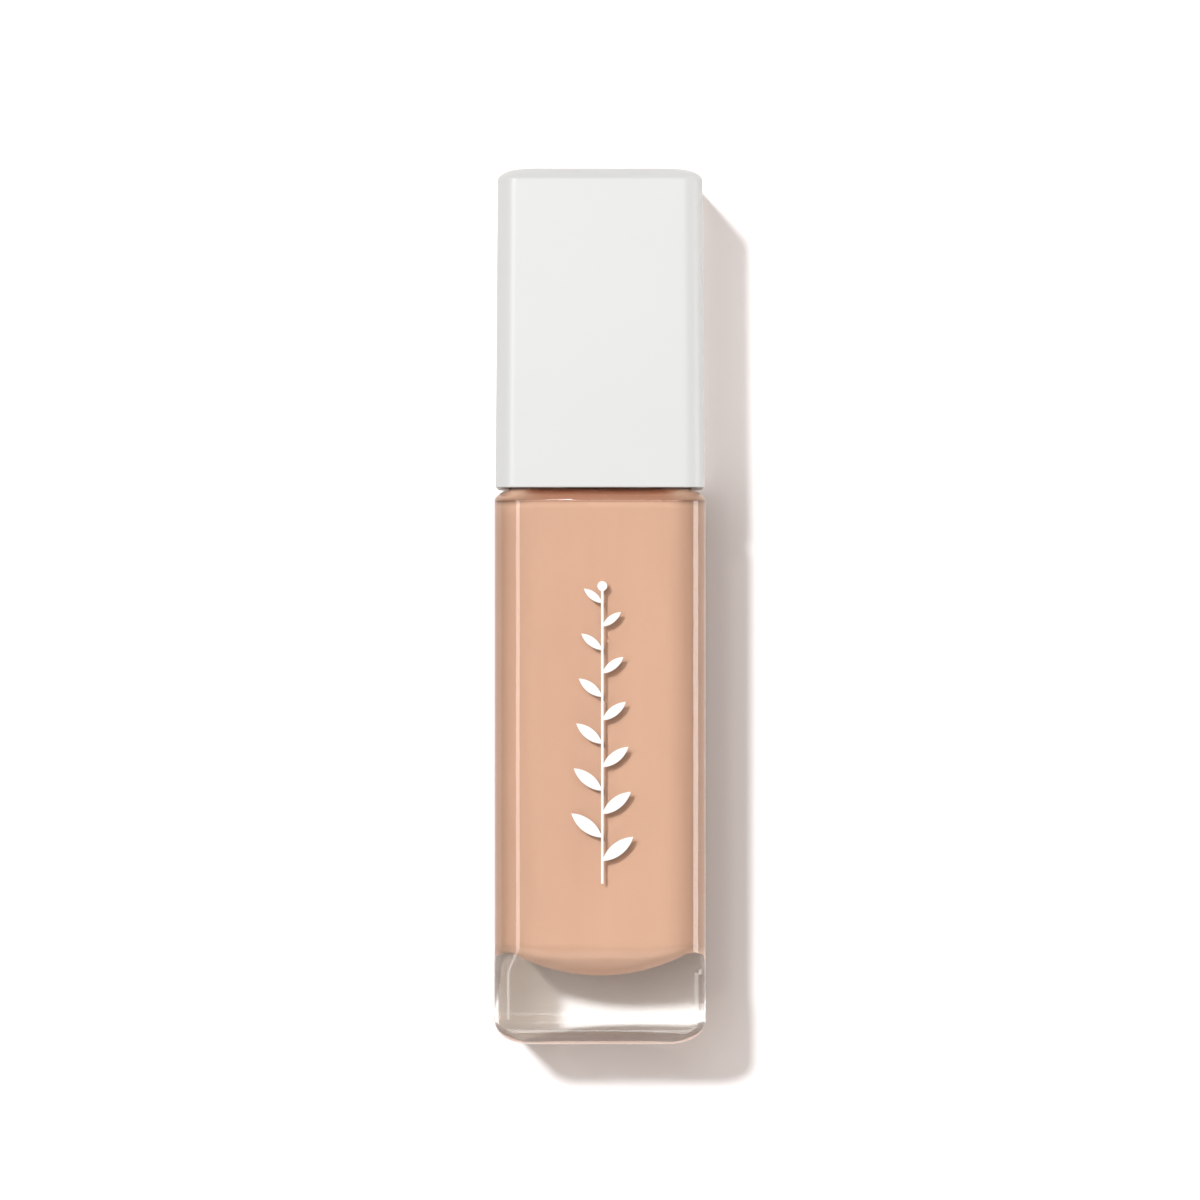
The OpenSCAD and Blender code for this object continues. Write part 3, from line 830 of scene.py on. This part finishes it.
def smeared_material(name, clean_low, clean_high, film_share, rough):
    """Plastic with a film of foundation left on it. film_share(s) gives how much at each point."""
    s = material_shader(name)
    share = film_share(s)
    clean = s.ramp(s.noise(0.3, 2.0), [(0.3, clean_low), (0.7, clean_high)])
    film = s.ramp(s.noise(0.8, 3.0), [(0.3, LIQUID_DARK), (0.7, LIQUID_LIGHT)])
    thick = s.noise(0.5, 3.0, 0.6, stretch=(1, 1, 0.4))
    normal = s.bump(s.times(thick, share), 0.12, s.bump(s.noise(1.5, 3.0), 0.002))
    return s.done(s.principled(Base_Color=s.mix(share, clean, film), Roughness=s.span(share, rough, 0.22),
                               Normal=normal))


def stem_film(s):
    """Wet below the neck, in runs and streaks, and clean above."""
    height = s.span(s.split(s.coordinates["Object"])[2], 0.0, 1.0, 64 * MM, 78 * MM)
    ragged = s.math("ADD", height, s.span(s.noise(0.5, 3.0, 0.6, stretch=(1, 1, 0.15)), -0.5, 0.5))
    streaks = s.span(s.noise(0.9, 3.0, 0.65, stretch=(1, 1, 0.08), distortion=0.3), 0.6, 1.0, 0.36, 0.54)
    return s.times(s.span(ragged, 1.0, 0.0, 0.35, 0.65), streaks)


def wiper_film(s):
    """Smears round the wiper's hole and on its lip."""
    near = s.span(s.radius(), 1.0, 0.0, 4.5 * MM, 5.6 * MM)
    ragged = s.math("ADD", near, s.span(s.noise(0.6, 3.0, 0.6), -0.45, 0.45))
    return s.span(ragged, 0.0, 1.0, 0.4, 0.7)


def ink_material():
    s = material_shader("white_ink")
    grain = s.noise(6.0, 3.0, 0.6)
    colour = s.ramp(s.noise(0.4, 2.0), [(0.3, rgb(240, 238, 234)), (0.7, rgb(250, 248, 245))])
    return s.done(s.principled(Base_Color=colour, Roughness=s.span(grain, 0.4, 0.55),
                               Normal=s.bump(grain, 0.004)))


def flock_material():
    s = material_shader("tip_flock")
    fibre, clump = s.noise(7.0, 3.0, 0.7), s.noise(0.7, 3.0, 0.6)
    colour = s.ramp(s.math("ADD", s.times(clump, 0.6), s.times(fibre, 0.4)),
                    [(0.3, rgb(196, 140, 108)), (0.7, rgb(234, 192, 163))])
    return s.done(s.principled(Base_Color=colour, Roughness=s.span(clump, 0.5, 0.8), Sheen_Weight=0.5,
                               Sheen_Roughness=0.45, Normal=s.bump(fibre, 0.03, s.bump(clump, 0.08))))


def label_material():
    """A plain round label: coated paper with a shade swatch in the middle and a thin border."""
    s = material_shader("label_paper")
    place = s.span(s.radius(), 0.0, 1.0, 0.0, LABEL_REACH * MM)
    stops = [(0.0, SWATCH), (SWATCH_R / LABEL_REACH, PAPER), (BORDER_INNER_R / LABEL_REACH, BORDER),
             (BORDER_R / LABEL_REACH, PAPER)]
    fibre = s.noise(5.0, 4.0, 0.65)
    tone = s.mix(s.span(fibre, 0.0, 0.08), s.ramp(place, stops, "CONSTANT"), FIBRE)
    return s.done(s.principled(Base_Color=tone, Roughness=s.span(fibre, 0.42, 0.6),
                               Normal=s.bump(fibre, 0.006)))


def foam_material():
    s = material_shader("seal_foam")
    cells = s.cells(3.5)
    colour = s.ramp(s.noise(0.5, 2.0), [(0.3, rgb(222, 221, 217)), (0.7, rgb(236, 235, 231))])
    return s.done(s.principled(Base_Color=colour, Roughness=s.span(cells, 0.6, 0.8),
                               Normal=s.bump(cells, 0.03)))


# ---------------------------------------------------------------- stage, lights, camera

BACKDROP_GAP = 0.02                # between it and the bottle's back
BACKDROP_REACH = 1200.0            # from its middle to its edges
BACKDROP_CLEAR = (5.0, 6.0)        # scattered rays up to the first length pass it, and none from the second
BACKDROP_COLOUR = (0.95, 0.955, 0.965)
# the sheet's own glow, painted light that lifts and warms the shadows on it
BACKDROP_PAINTED_GLOW = (0.145, 0.1, 0.08)
SKY_LEVEL = 0.255
SKY_LEAN = -0.12                   # how much brighter the room is overhead than level with the bottle
SKY_BEHIND = 1.3                   # and how much brighter it is behind the bottle
SKY_LEAST = 0.02
SEEN_THROUGH_GLASS = 0.8           # how white the room looks through clear glass
ROOM_COLOUR = (1.08, 0.99, 0.93)
KEY_STRENGTH = 2.12
KEY_ANGLE = 4.0
KEY_COLOUR = (0.98, 1.0, 1.02)
KEY_LEFT, KEY_UP = 15.0, 16.0      # how far the key light stands to the left of and above the camera
SOFTBOX_DISTANCE = 800.0
SOFTBOXES = (
    # name, azimuth, elevation, width, height, radiance
    ("strip_left", -9.0, 0.0, 10.0, 16.0, 5.0),
    ("strip_right", 74.0, 0.0, 28.0, 12.0, 7.0),
    ("strip_far_right", 105.0, 0.0, 22.0, 12.0, 8.0),
    ("strip_top", -7.0, 12.0, 26.0, 8.0, 6.0),
    ("spark", -0.75, 25.0, 0.7, 4.0, 60.0),
    ("rear", 195.0, 25.0, 40.0, 40.0, 1.5),
)
LENS, SENSOR = 200.0, 36.0
FRAME_WIDTH = 159.2                # width of the picture at the bottle's front corners
AIM_Z = 59.0


def backdrop_material():
    """A pale lit sheet, with a faint glow of its own: painted light that lifts and warms the shadows on it.

    Its back is clear, so that it doesn't hide the bottle in views from behind, and it lets light through
    to the bottle's back, which almost touches it. To a ray that is mirrored by the glass, or that has
    crossed three of its faces, the sheet stays solid.
    """
    s = material_shader("backdrop")
    shade = tuple(0.99 * c for c in BACKDROP_COLOUR)
    tone = s.ramp(s.noise(0.02, 2.0), [(0.3, shade), (0.7, BACKDROP_COLOUR)])
    body = s.principled(Base_Color=tone, Roughness=0.9, Specular_IOR_Level=0.0,
                        Emission_Color=BACKDROP_PAINTED_GLOW, Emission_Strength=1.0)
    path = s.add("ShaderNodeLightPath").outputs
    scattered = s.math("ADD", path["Is Shadow Ray"], path["Diffuse Depth"], clamp=True)
    mirrored = s.times(path["Is Glossy Ray"], s.without(path["Is Transmission Ray"]))
    straight = s.times(s.span(path["Transmission Depth"], 1, 0, 2.4, 2.6), s.without(mirrored))
    close, far = BACKDROP_CLEAR
    near = s.times(s.span(path["Ray Length"], 1, 0, close * MM, far * MM), s.times(scattered, straight))
    behind = s.add("ShaderNodeNewGeometry").outputs["Backfacing"]
    clear = s.add("ShaderNodeBsdfTransparent").outputs[0]
    return s.done(s.join(s.math("MAXIMUM", behind, near), body, clear))


def add_backdrop():
    """The pale surface that the bottle lies against."""
    y, reach = BODY_HALF + BACKDROP_GAP, BACKDROP_REACH
    corners = [(-reach, y, -reach), (reach, y, -reach), (reach, y, reach), (-reach, y, reach)]
    mesh = bpy.data.meshes.new("backdrop")
    mesh.from_pydata([tuple(c * MM for c in p) for p in corners], [], [(0, 1, 2, 3)])
    mesh.materials.append(backdrop_material())
    sheet = bpy.data.objects.new("backdrop", mesh)
    bpy.context.scene.collection.objects.link(sheet)


def add_world():
    """Soft light from the room. It is brighter from behind, for the bottle's back, and from below.

    The camera sees plain white, and nearly white through clear glass.
    """
    world = bpy.data.worlds.new("studio")
    bpy.context.scene.world = world
    s = Shader(world, "ShaderNodeOutputWorld")
    _, y, z = s.split(s.coordinates["Generated"])
    level = s.math("ADD", s.times(z, SKY_LEAN), SKY_LEVEL)
    behind = s.times(s.math("MAXIMUM", y, 0.0), SKY_BEHIND)
    path = s.add("ShaderNodeLightPath").outputs
    unscattered = s.without(s.any_of(path["Diffuse Depth"]))
    through = s.times(s.times(path["Is Transmission Ray"], unscattered), SEEN_THROUGH_GLASS)
    room, white = s.add("ShaderNodeBackground"), s.add("ShaderNodeBackground")
    s.feed(room.inputs["Color"], ROOM_COLOUR)
    s.link(s.math("MAXIMUM", s.math("ADD", level, behind), SKY_LEAST), room.inputs["Strength"])
    s.feed(white.inputs["Color"], (1.0, 1.0, 1.0))
    seen = s.math("MAXIMUM", path["Is Camera Ray"], through)
    s.done(s.join(seen, room.outputs[0], white.outputs[0]))


def add_key():
    """The main light. It isn't seen through the glass, where it would count twice."""
    lamp = bpy.data.lights.new("key", "SUN")
    lamp.energy = KEY_STRENGTH
    lamp.angle = math.radians(KEY_ANGLE)
    lamp.color = KEY_COLOUR
    key = bpy.data.objects.new("key", lamp)
    bpy.context.scene.collection.objects.link(key)
    towards = Vector((-math.tan(math.radians(KEY_LEFT)), -1.0, math.tan(math.radians(KEY_UP))))
    key.rotation_mode = "QUATERNION"
    key.rotation_quaternion = towards.to_track_quat("Z", "Y")
    key.visible_transmission = False
    key.visible_camera = False


def add_softbox(name, azimuth, elevation, width, height, radiance):
    """A lamp like a lit panel that faces the bottle.

    Its place and its size are angles seen from the bottle. Azimuth 0 is the camera's side, and 90 is +X.
    """
    lamp = bpy.data.lights.new(name, "AREA")
    lamp.shape = "RECTANGLE"
    lamp.size = 2 * SOFTBOX_DISTANCE * math.tan(math.radians(width / 2)) * MM
    lamp.size_y = 2 * SOFTBOX_DISTANCE * math.tan(math.radians(height / 2)) * MM
    lamp.energy = radiance * math.pi * lamp.size * lamp.size_y
    panel = bpy.data.objects.new(name, lamp)
    bpy.context.scene.collection.objects.link(panel)
    a, e = math.radians(azimuth), math.radians(elevation)
    towards = Vector((math.sin(a) * math.cos(e), -math.cos(a) * math.cos(e), math.sin(e)))
    panel.location = Vector((0.0, 0.0, CAD_HIGH.z * MM / 2)) + towards * SOFTBOX_DISTANCE * MM
    panel.rotation_mode = "QUATERNION"
    panel.rotation_quaternion = towards.to_track_quat("Z", "Y")
    panel.visible_camera = False


def add_camera():
    data = bpy.data.cameras.new("camera")
    data.lens, data.sensor_width = LENS, SENSOR
    camera = bpy.data.objects.new("camera", data)
    bpy.context.scene.collection.objects.link(camera)
    distance = FRAME_WIDTH * LENS / SENSOR + (BODY_HALF - BODY_CORNER)
    camera.location = (0.0, -distance * MM, AIM_Z * MM)
    camera.rotation_euler = (math.radians(90), 0.0, 0.0)
    data.clip_start, data.clip_end = 0.01, 10.0
    bpy.context.scene.camera = camera
    bpy.context.scene.view_settings.view_transform = "Standard"


# ---------------------------------------------------------------- the part

add_camera()
add_world()
add_key()
add_backdrop()
for softbox in SOFTBOXES:
    add_softbox(*softbox)

glass_body(glass_material())
liquid_fill(liquid_material())
satin = cap_material()
cap_outer(satin)
cap_inside(satin)
liner_plastic = plastic_material("inner_cap_plastic", rgb(228, 228, 224), rgb(238, 238, 234), 0.42)
inner_cap(liner_plastic)
gusset_fins(liner_plastic)
wiper(smeared_material("wiper_plastic", rgb(226, 225, 221), rgb(236, 235, 231), wiper_film, 0.45))
gasket(foam_material())
wand_stem(smeared_material("stem_plastic", rgb(232, 231, 227), rgb(240, 239, 235), stem_film, 0.3))
doe_foot(flock_material(),
         plastic_material("tip_elastomer", rgb(226, 212, 198), rgb(238, 226, 214), 0.5))

for node, material in (("front_print", ink_material()), ("base_label", label_material())):
    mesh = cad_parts[node].data
    for place in range(len(mesh.materials)):
        mesh.materials[place] = material
